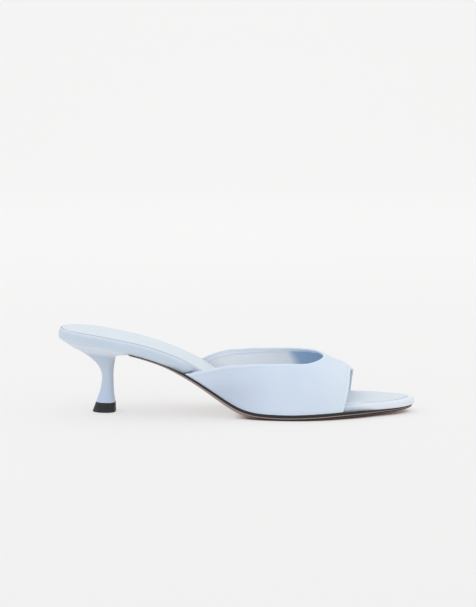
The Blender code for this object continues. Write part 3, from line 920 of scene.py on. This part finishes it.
def make_rubber_finish():
    """Dull black rubber, greyer where it is scuffed."""
    finish, tree, shader, place = start_finish("top_piece_rubber")
    scuffs = noise(tree, place.outputs["Object"], SCUFFS_PER_METRE, detail=5.0, roughness=0.65)
    tone = tone_ramp(tree, scuffs, RUBBER_TONES)
    tree.links.new(tone, shader.inputs["Base Color"])
    add_relief(tree, shader, scuffs, SCUFF_DEPTH)
    shader.inputs["Roughness"].default_value = RUBBER_ROUGHNESS
    return finish


make_piece("top_piece", tip_shell, make_rubber_finish(), "heel_tip", bend=40)


# Upper
# One band of soft calf, cut from wing to wing and lasted over the footbed. Its topline
# and toe edge are folded over a tape and pressed, which leaves a shallow line beside the
# roll, and a narrow facing of the same leather is turned down inside the collar.

VAMP_HEIGHT = 0.0363
RIDGE_SHIFT = 0.003
COLLAR_SIDE_ROWS = 8
UPPER_SIDE_STEPS = 80
UPPER_FRONT_STEPS = 100
UPPER_STEPS_DOWN = 72
UPPER_RIM_STEPS = 8
UPPER_LEATHER = 0.0012
FACING_WIDTH = 0.0035
FACING_EDGE = 0.0004
FOLD_ROLL = 0.0003
TOE_FOLD_ROLL = 0.0001
FOLD_WIDTH = 0.0026
FOLD_LINE_WIDTH = 0.0005
FOLD_LINE_DEPTH = 0.00014
LASTED_LINE = 0.0021
LASTED_LINE_WIDTH = 0.0005
LASTED_LINE_DEPTH = 0.00022
LASTED_SWELL = 0.00015
WING_FLARE = 0.0019
WING_FLARE_RISE = 0.005
WING_FLARE_START = 0.100
WING_FLARE_FADE = 0.018
CREASE_MARGIN = 0.007
CREASE_POINTS = 13
CREASE_FADE = 0.7
RIM_SHARE_LIMIT = 0.3
TOE_BLEND_STATIONS = 4
WING_SMOOTH_GIRTH = 0.012
WING_THIN_GIRTH = 0.004
LEAST_LENGTH = 0.000000001
INSIDE_PRINT = 2.0

# Ridge as a share of the vamp height, and fullness of the curve up to it
SECTIONS = table(
    "along ridge fullness",
    (0.30, 1.71, 3.00),
    (0.41, 1.71, 3.00),
    (0.49, 1.65, 3.00),
    (0.57, 1.54, 2.95),
    (0.63, 1.39, 2.80),
    (0.67, 1.25, 2.65),
    (0.71, 1.11, 2.50),
    (0.74, 1.00, 2.45),
    (0.774, 0.879, 2.40),
    (0.807, 0.777, 2.40),
    (0.835, 0.630, 2.40),
)

# Height of the collar's edge as a share of the ridge, from the wing tips to the throat
COLLAR = table(
    "along lateral medial",
    (0.354, 0.000, 0.000),
    (0.372, 0.077, 0.052),
    (0.395, 0.166, 0.161),
    (0.430, 0.302, 0.321),
    (0.475, 0.450, 0.479),
    (0.520, 0.549, 0.581),
    (0.570, 0.611, 0.644),
    (0.640, 0.707, 0.746),
    (0.700, 0.814, 0.880),
    (0.733, 0.931, 0.972),
    (0.7465, 1.000, 1.000),
)

# Place of the toe edge along the shoe, by share of the way round from the lateral side
TOE_EDGE = table(
    "around along",
    (0.00, 0.7935),
    (0.10, 0.8055),
    (0.22, 0.8150),
    (0.38, 0.8212),
    (0.55, 0.8300),
    (0.75, 0.8362),
    (0.88, 0.8335),
    (1.00, 0.8290),
)

# Soft troughs (negative) and ridges of the lasted leather: the two ends and the middle of
# each as (share of the length, share of the way round), with its width and its depth
CREASES = table(
    "start middle end width depth",
    ((0.665, 0.235), (0.700, 0.170), (0.722, 0.080), 0.0060, -0.00022),
    ((0.705, 0.300), (0.742, 0.235), (0.765, 0.120), 0.0050, 0.00014),
    ((0.470, 0.085), (0.560, 0.130), (0.640, 0.150), 0.0070, 0.00016),
    ((0.430, 0.030), (0.500, 0.050), (0.580, 0.055), 0.0040, -0.00014),
    ((0.690, 0.760), (0.715, 0.820), (0.730, 0.910), 0.0060, -0.00022),
    ((0.480, 0.915), (0.560, 0.870), (0.640, 0.850), 0.0070, 0.00016),
    ((0.765, 0.420), (0.770, 0.520), (0.772, 0.620), 0.0045, -0.00010),
)

ridge_at = column(SECTIONS, "ridge")
fullness_at = column(SECTIONS, "fullness")
toe_edge_at = smooth_curve(
    [row.around for row in TOE_EDGE],
    [row.along * SHOE_LENGTH for row in TOE_EDGE],
)


def upper_half_width(x, side):
    """Return the outer half width of the upper where it meets the sole."""
    ahead = plan_at[side](turn_at((x + SLOPE_STEP) / SHOE_LENGTH))
    behind = plan_at[side](turn_at((x - SLOPE_STEP) / SHOE_LENGTH))
    slope = (ahead - behind) / (2 * SLOPE_STEP)
    return plan_at[side](turn_at(x / SHOE_LENGTH)) + upper_proud * np.hypot(1.0, slope)


def upper_points(x, around):
    """Return the upper's outer surface, around being 0 and 1 at the two feather lines."""
    angle = math.pi * around
    lateral = upper_half_width(x, LATERAL)
    width = np.where(around < 0.5, lateral, upper_half_width(x, MEDIAL))
    height = VAMP_HEIGHT * ridge_at(x)
    power = fullness_at(x)
    across = np.abs(np.cos(angle)) / width
    upward = np.abs(np.sin(angle)) / height
    reach = (across**power + upward**power) ** (-1 / power)
    up = reach * np.abs(np.sin(angle))
    y = -reach * np.cos(angle) + RIDGE_SHIFT * (up / height) ** 2
    return on_last(np.stack([x, y, up], axis=-1))


def around_at(x, side, share):
    """Return the way round at which the upper has a share of its ridge's height."""
    power = fullness_at(x)
    across = upper_half_width(x, side) * (1 - share**power) ** (1 / power)
    angle = np.arctan2(share * VAMP_HEIGHT * ridge_at(x), across)
    return angle / math.pi if side == LATERAL else 1 - angle / math.pi


def collar_places():
    """Return the collar's (x, around), evenly spaced from one wing tip to the other."""
    x = np.array([row.along * SHOE_LENGTH for row in COLLAR])
    lateral = around_at(x, LATERAL, np.array([row.lateral for row in COLLAR]))
    medial = around_at(x, MEDIAL, np.array([row.medial for row in COLLAR]))
    x = np.concatenate([x, x[-2::-1]])
    around = np.concatenate([lateral, medial[-2::-1]])
    steps = np.linalg.norm(np.diff(upper_points(x, around), axis=0), axis=1)
    lengths = np.concatenate([[0.0], np.cumsum(steps)])
    first = lengths[COLLAR_SIDE_ROWS - 1]
    second = lengths[-COLLAR_SIDE_ROWS]
    stops = np.concatenate(
        [
            np.linspace(0.0, first, UPPER_SIDE_STEPS + 1),
            np.linspace(first, second, UPPER_FRONT_STEPS + 1)[1:],
            np.linspace(second, lengths[-1], UPPER_SIDE_STEPS + 1)[1:],
        ]
    )
    return smooth_curve(lengths, x)(stops), smooth_curve(lengths, around)(stops)


def border_places():
    """Return (x, around) along the feather line and over the toe edge, as collar_places."""
    wing = COLLAR[0].along * SHOE_LENGTH
    turns = np.linspace(0.0, 1.0, UPPER_FRONT_STEPS + 1)[1:]
    lateral = np.linspace(wing, float(toe_edge_at(0.0)), UPPER_SIDE_STEPS + 1)
    medial = np.linspace(float(toe_edge_at(1.0)), wing, UPPER_SIDE_STEPS + 1)[1:]
    x = np.concatenate([lateral, toe_edge_at(turns), medial])
    around = np.concatenate([np.zeros(len(lateral)), turns, np.ones(len(medial))])
    return x, around


def unit(vectors):
    length = np.linalg.norm(vectors, axis=-1, keepdims=True)
    return vectors / np.maximum(length, LEAST_LENGTH)


def outward_normals(grid):
    """Return the normals of the upper's grid, which face away from the foot."""
    normals = unit(np.cross(np.gradient(grid, axis=1), np.gradient(grid, axis=0)))
    normals[0] = normals[1]
    normals[-1] = normals[-2]
    return normals


def arc_lengths(grid):
    """Return how far each point lies below the top of its column."""
    steps = np.linalg.norm(np.diff(grid, axis=1), axis=-1)
    return np.concatenate([np.zeros((len(grid), 1)), np.cumsum(steps, axis=1)], axis=1)


def line_distance(points, line):
    """Return each point's distance to a line of points, and its share along the line."""
    best = np.full(points.shape[:-1], np.inf)
    share = np.zeros(points.shape[:-1])
    for i in range(len(line) - 1):
        way = line[i + 1] - line[i]
        t = np.clip(((points - line[i]) @ way) / (way @ way), 0.0, 1.0)
        distance = np.linalg.norm(points - line[i] - t[..., None] * way, axis=-1)
        nearer = distance < best
        best = np.where(nearer, distance, best)
        share = np.where(nearer, (i + t) / (len(line) - 1), share)
    return best, share


def crease_relief(points):
    """Return the height of the listed troughs and ridges at each point."""
    relief = np.zeros(points.shape[:-1])
    for crease in CREASES:
        knots = np.array([crease.start, crease.middle, crease.end])
        turns = np.linspace(0.0, 2.0, CREASE_POINTS)
        x = smooth_curve([0, 1, 2], knots[:, 0] * SHOE_LENGTH)(turns)
        around = smooth_curve([0, 1, 2], knots[:, 1])(turns)
        distance, share = line_distance(points, upper_points(x, around))
        fade = np.sin(math.pi * np.clip(share, 0.0, 1.0)) ** CREASE_FADE
        relief += crease.depth * fade * bell(distance, 0.0, crease.width)
    return relief


collar_x, collar_around = collar_places()
border_x, border_around = border_places()
stations = len(collar_x)
front = np.zeros(stations)
front[UPPER_SIDE_STEPS : UPPER_SIDE_STEPS + UPPER_FRONT_STEPS + 1] = 1.0
blend = np.ones(2 * TOE_BLEND_STATIONS + 1)
padded_front = np.pad(front, TOE_BLEND_STATIONS, mode="edge")
toe_share = np.convolve(padded_front, blend / len(blend), mode="valid")[:, None]


def upper_grid(first, last):
    """Return the outer surface between two shares of the way down, its x and way round."""
    ways = first + (last - first) * np.linspace(0.0, 1.0, UPPER_STEPS_DOWN + 1)[None, :]
    x = collar_x[:, None] + (border_x - collar_x)[:, None] * ways
    around = collar_around[:, None] + (border_around - collar_around)[:, None] * ways
    return upper_points(x, around), x, around


whole = upper_grid(np.zeros((stations, 1)), np.ones((stations, 1)))[0]
girth = arc_lengths(whole)[:, -1:]
rim_share = UPPER_WALL / 2 / np.maximum(girth, LEAST_LENGTH)
rim_share = np.minimum(rim_share, RIM_SHARE_LIMIT)
surface, surface_x, surface_around = upper_grid(rim_share, 1 - rim_share)
from_top = arc_lengths(surface) + UPPER_WALL / 2
from_border = girth - from_top


def fold_relief(distance, roll):
    """Return the relief of a folded edge: rolled inward, with a pressed line beside it."""
    rolled = roll * (1 - np.clip(distance / FOLD_WIDTH, 0.0, 1.0)) ** 2
    return -rolled - FOLD_LINE_DEPTH * bell(distance, FOLD_WIDTH, FOLD_LINE_WIDTH)


lasted_line = LASTED_LINE_DEPTH * bell(from_border, LASTED_LINE, LASTED_LINE_WIDTH)
lasted_relief = LASTED_SWELL * bell(from_border, 0.0, LASTED_LINE / 2) - lasted_line
relief = fold_relief(from_top, FOLD_ROLL)
relief = relief + toe_share * fold_relief(from_border, TOE_FOLD_ROLL)
relief = relief + (1 - toe_share) * lasted_relief
from_edge = np.where(toe_share > 0.5, np.minimum(from_top, from_border), from_top)
relief = relief + crease_relief(surface) * ease((from_edge - FOLD_WIDTH) / CREASE_MARGIN)
relief = relief * ease(girth / WING_SMOOTH_GIRTH)
flare = WING_FLARE * ease((surface_x - COVER_START) / WING_FLARE_RISE)
flare = flare * (1 - ease((surface_x - WING_FLARE_START) / WING_FLARE_FADE))
flare = flare * ease(from_border / (2 * UPPER_WALL))
outward = np.zeros_like(surface)
outward[..., 1] = np.where(surface_around < 0.5, -1.0, 1.0)
skin = surface + outward_normals(surface) * relief[..., None] + outward * flare[..., None]
skin_normals = outward_normals(skin)

facing = ease((FACING_WIDTH - from_top) / FACING_EDGE)
thickness = UPPER_LEATHER + (UPPER_WALL - UPPER_LEATHER) * facing
thickness = thickness + FACING_EDGE * bell(from_top, FACING_WIDTH, FACING_EDGE)
thickness = thickness + (UPPER_WALL - thickness) * ease(1 - from_border / (2 * UPPER_WALL))
thickness = thickness * np.sqrt(ease(girth / WING_THIN_GIRTH))
inner = skin - skin_normals * thickness[..., None]


def edge_round(near, beyond, inside):
    """Return the half-round edge that joins the outer face to the inner face."""
    centre = (near + inside) / 2
    across = (near - inside) / 2
    radius = np.linalg.norm(across, axis=-1, keepdims=True)
    out = unit(near - beyond)
    turns = np.linspace(0.0, math.pi, UPPER_RIM_STEPS + 1)[1:-1]
    return np.stack(
        [centre + across * math.cos(turn) + out * radius * math.sin(turn) for turn in turns],
        axis=1,
    )


top_rim = edge_round(skin[:, 0], skin[:, 1], inner[:, 0])
bottom_rim = edge_round(skin[:, -1], skin[:, -2], inner[:, -1])
loops = np.concatenate([skin, bottom_rim, inner[:, ::-1], top_rim[:, ::-1]], axis=1)
loop_prints = np.zeros(loops.shape[:2] + (2,))
inside_start = skin.shape[1] + bottom_rim.shape[1]
inside_end = inside_start + inner.shape[1]
loop_prints[..., 0] = (loops[..., 0] - HEEL_BACK_X) / SHOE_LENGTH
loop_prints[:, : skin.shape[1], 1] = from_edge / MILLIMETRE
loop_prints[:, inside_start:inside_end, 0] += INSIDE_PRINT
loop_prints[:, inside_start:inside_end, 1] = from_top[:, ::-1] / MILLIMETRE
upper_shell = Shell()
upper_shell.add_grid(loops, closed=True, prints=loop_prints)
upper_shell.close_ends(loops)

# Painted light and shade laid over the outer face, with the shares of the length and the
# millimetres from the nearest fold that they cover
# Painted shade low at the waist, where the side turns down and away from the light
WAIST_SHADE = (0.48, 0.565, 0.70)
WAIST_SHADE_ALONG = Span(0.43, 0.63, 0.9, 0.0)
WAIST_SHADE_DOWN = Span(4.0, 22.0, 0.30, 1.0)
# Painted light over the toe, which faces up to the light
TOE_PAINTED_LIGHT = (0.73, 0.808, 0.905)
TOE_PAINTED_LIGHT_ALONG = Span(0.68, 0.80, 0.0, 0.6)
# Painted highlight along the rolled folds of the topline and the toe edge
FOLD_HIGHLIGHT = (0.82, 0.89, 0.96)
FOLD_HIGHLIGHT_INSIDE = Span(1.2, FOLD_WIDTH / MILLIMETRE, 0.35, 0.0)
# Painted shade in the pressed line beside each fold
FOLD_LINE_SHADE = (0.45, 0.54, 0.68)
FOLD_LINE_SHADE_ASIDE = Span(0.15, 0.5, 0.10, 0.0)

# Painted light and shade of the facing and its cut edge, with the millimetres past the cut
# edge and the lengths they cover
# Painted light on the facing, which lies inside the collar out of much of the light
FACING_LIGHT = (0.80, 0.865, 0.945)
FACING_PAST = Span(-0.1, 0.1, 1.0, 0.0)
# Painted shade on the facing towards the throat, under the vamp
FACING_SHADED = (0.45, 0.58, 0.76)
FACING_SHADED_ALONG = Span(INSIDE_PRINT + 0.62, INSIDE_PRINT + 0.68, 0.0, 0.6)
# The facing's cut edge: partly its own paler colour, partly painted highlight
CUT_EDGE_AND_HIGHLIGHT = (0.96, 0.98, 1.0)
CUT_PLACE = -0.45
CUT_ASIDE = Span(0.3, 0.6, 1.0, 0.0)


def paint_upper_light_and_shade(tree, along, from_fold, colour):
    """Paint highlights on the folds and the facing's cut edge, and shade in the pressed line.

    Paint shade low at the waist, light over the toe, and light and shade on the facing.
    """
    outside = reckon(tree, "LESS_THAN", along, INSIDE_PRINT / 2)
    waist = both(tree, ramp(tree, along, WAIST_SHADE_ALONG), ramp(tree, from_fold, WAIST_SHADE_DOWN))
    from_line = distance_to(tree, from_fold, FOLD_WIDTH / MILLIMETRE)
    for share, tone in (
        (waist, WAIST_SHADE),
        (ramp(tree, along, TOE_PAINTED_LIGHT_ALONG), TOE_PAINTED_LIGHT),
        (ramp(tree, from_fold, FOLD_HIGHLIGHT_INSIDE), FOLD_HIGHLIGHT),
        (ramp(tree, from_line, FOLD_LINE_SHADE_ASIDE), FOLD_LINE_SHADE),
    ):
        colour = dye_over(tree, both(tree, share, outside), colour, tone)
    inward = reckon(tree, "GREATER_THAN", along, INSIDE_PRINT / 2)
    past_cut = reckon(tree, "SUBTRACT", from_fold, FACING_WIDTH / MILLIMETRE)
    strip = both(tree, ramp(tree, past_cut, FACING_PAST), inward)
    colour = dye_over(tree, strip, colour, FACING_LIGHT)
    deep = both(tree, strip, ramp(tree, along, FACING_SHADED_ALONG))
    colour = dye_over(tree, deep, colour, FACING_SHADED)
    cut = ramp(tree, distance_to(tree, past_cut, CUT_PLACE), CUT_ASIDE)
    return dye_over(tree, both(tree, cut, inward), colour, CUT_EDGE_AND_HIGHLIGHT)


upper_leather = make_leather(
    "upper_leather",
    light=(0.677, 0.776, 0.92),
    deep=(0.65, 0.75, 0.893),
    cells=1700.0,
    roughness=0.44,
    tint=paint_upper_light_and_shade,
)
make_piece("vamp", upper_shell, upper_leather, "upper", bend=70)


# Lining
# Thin pale kid, glued inside the upper from under the facing's edge down to the sole.
# Under the vamp and just below the facing it carries painted shade, a deeper blue.

LINING_THICKNESS = 0.0004
LINING_BACK = 0.00005
LINING_TUCK = 0.0032
LINING_STEPS_DOWN = 40
LINING_LEAST_GIRTH = 0.009

lining_grid = []
lining_down = []
for station in range(stations):
    first_row = np.argmax(from_top[station] > LINING_TUCK)
    rows = np.linspace(first_row, UPPER_STEPS_DOWN, LINING_STEPS_DOWN + 1)
    low = np.floor(rows).astype(int)
    high = np.minimum(low + 1, UPPER_STEPS_DOWN)
    blend = (rows - low)[:, None]
    backing = skin[station] - skin_normals[station] * UPPER_LEATHER
    lining_grid.append((1 - blend) * backing[low] + blend * backing[high])
    lining_down.append(np.interp(rows, np.arange(UPPER_STEPS_DOWN + 1), from_top[station]))
usable = girth[:, 0] > LINING_LEAST_GIRTH
lining_grid = np.array(lining_grid)[usable]
lining_down = np.array(lining_down)[usable]
lining_normals = outward_normals(lining_grid)
lining_face = lining_grid - lining_normals * LINING_THICKNESS
lining_back = lining_grid - lining_normals * LINING_BACK
lining_loops = np.concatenate([lining_back, lining_face[:, ::-1]], axis=1)
lining_prints = np.zeros(lining_loops.shape[:2] + (2,))
lining_prints[..., 0] = (lining_loops[..., 0] - HEEL_BACK_X) / SHOE_LENGTH
lining_prints[..., 1] = np.concatenate([lining_down, lining_down[:, ::-1]], axis=1) / MILLIMETRE
lining_shell = Shell()
lining_shell.add_grid(lining_loops, closed=True, prints=lining_prints)
lining_shell.close_ends(lining_loops)

# The lining's painted shade under the vamp, with the shares of the length that it covers
# and its slant per millimetre down, and the painted shade under the facing by millimetres
# below the topline
# Painted shade on the lining under the vamp and just below the facing
LINING_SHADED = (0.34, 0.49, 0.70)
LINING_SLANT = -0.0015
SHADED_FROM = Span(0.630, 0.664)
SHADED_TO = Span(0.77, 0.80, 1.0, 0.3)
UNDER_FACING_SHADE = Span(3.6, 6.5, 0.13, 0.0)


def paint_lining_shade(tree, along, down, colour):
    """Paint shade forward of the throat, further back near the topline, and below the facing.
    """
    place = reckon(tree, "MULTIPLY_ADD", down, LINING_SLANT, along)
    vamp = both(tree, ramp(tree, place, SHADED_FROM), ramp(tree, along, SHADED_TO))
    shade = reckon(tree, "MAXIMUM", vamp, ramp(tree, down, UNDER_FACING_SHADE))
    return dye_over(tree, shade, colour, LINING_SHADED)


lining_leather = make_leather(
    "lining_leather",
    light=(0.90, 0.93, 0.975),
    deep=(0.88, 0.91, 0.955),
    cells=1300.0,
    roughness=0.6,
    tint=paint_lining_shade,
)
make_piece("vamp_lining", lining_shell, lining_leather, bend=60)


# Studio
# A sweep of paper in an evenly lit white room, with the camera at the photograph's angle.
# The paper glows a little, which is painted light, and less where the shoe shelters it, which
# paints its shadows in. A large soft light hangs overhead, and one washes the backdrop.

CAMERA_PLACE = (0.0008, -1.2783, 0.2347)
CAMERA_TILT = 7.12
CAMERA_LENS = 110.97
CAMERA_SENSOR = 36.0

camera_data = bpy.data.cameras.new("camera")
camera_data.lens = CAMERA_LENS
camera_data.sensor_width = CAMERA_SENSOR
camera = add_object("camera", camera_data)
camera.location = CAMERA_PLACE
camera.rotation_euler = (math.radians(90 - CAMERA_TILT), 0.0, 0.0)
bpy.context.scene.camera = camera

SWEEP_WIDTH = 8.0
SWEEP_FRONT = -3.0
SWEEP_BACK = 2.2
SWEEP_RADIUS = 1.0
SWEEP_HEIGHT = 3.5
SWEEP_STEPS = 24
PAPER_WHITE = (0.30, 0.298, 0.296)
# The paper's glow is painted light: the paper is no lamp
PAPER_GLOW = 0.568
GLOW_REACH = 0.007
PAPER_ROUGHNESS = 0.9
PAPER_SHINE = 0.1

# The glow's colour by the share of the sky that the paper sees: painted shadow where the
# shoe shelters it, warmed near the brown sole as a painted reflection
GLOW_AND_SHADOW_STOPS = (
    (0.11, (0.03, 0.02, 0.018)),
    (0.26, (0.56, 0.48, 0.46)),
    (0.55, (0.96, 0.95, 0.95)),
    (1.0, (1.0, 1.0, 1.0)),
)

sweep_line = [(SWEEP_FRONT, 0.0), (0.0, 0.0)]
for turn in np.linspace(0.0, math.pi / 2, SWEEP_STEPS):
    sweep_line.append(
        (SWEEP_BACK + SWEEP_RADIUS * math.sin(turn), SWEEP_RADIUS * (1 - math.cos(turn)))
    )
sweep_line.append((SWEEP_BACK + SWEEP_RADIUS, SWEEP_HEIGHT))
sweep_mesh = bpy.data.meshes.new("sweep")
sweep_mesh.from_pydata(
    [(side * SWEEP_WIDTH / 2, y, z) for y, z in sweep_line for side in (-1, 1)],
    [],
    [(2 * i, 2 * i + 1, 2 * i + 3, 2 * i + 2) for i in range(len(sweep_line) - 1)],
)
sweep_mesh.shade_smooth()
sweep = add_object("sweep", sweep_mesh)
paper = bpy.data.materials.new("paper")
paper.use_nodes = True
paper_shader = paper.node_tree.nodes["Principled BSDF"]
paper_shader.inputs["Base Color"].default_value = (*PAPER_WHITE, 1.0)
# Painted shadow: the paper's glow fades where the shoe shelters it
shelter = put(paper.node_tree, "ShaderNodeAmbientOcclusion", {"Distance": GLOW_REACH})
glow = tone_ramp(paper.node_tree, shelter.outputs["AO"], GLOW_AND_SHADOW_STOPS)
paper.node_tree.links.new(glow, paper_shader.inputs["Emission Color"])
paper_shader.inputs["Emission Strength"].default_value = PAPER_GLOW
paper_shader.inputs["Roughness"].default_value = PAPER_ROUGHNESS
paper_shader.inputs["Specular IOR Level"].default_value = PAPER_SHINE
sweep_mesh.materials.append(paper)


def add_light(name, place, target, size, power):
    """Hang a square soft light and turn it to a point."""
    data = bpy.data.lights.new(name, "AREA")
    data.shape = "SQUARE"
    data.size = size
    data.energy = power
    light = add_object(name, data)
    light.location = place
    way = np.array(target) - np.array(place)
    light.rotation_euler = (
        math.acos(-way[2] / np.linalg.norm(way)),
        0.0,
        math.atan2(way[1], way[0]) - math.pi / 2,
    )


add_light("overhead", place=(-0.3, 0.1, 1.5), target=(0.0, 0.0, 0.0), size=1.6, power=2.0)
add_light("backdrop", place=(0.0, 1.6, 1.8), target=(0.0, 3.0, 0.2), size=2.0, power=9.0)

ROOM_LIGHT = 0.98

world = bpy.data.worlds.new("studio")
bpy.context.scene.world = world
world.use_nodes = True
room = world.node_tree.nodes["Background"].inputs
room["Color"].default_value = (1.0, 1.0, 1.0, 1.0)
room["Strength"].default_value = ROOM_LIGHT
bpy.context.scene.view_settings.view_transform = "Standard"
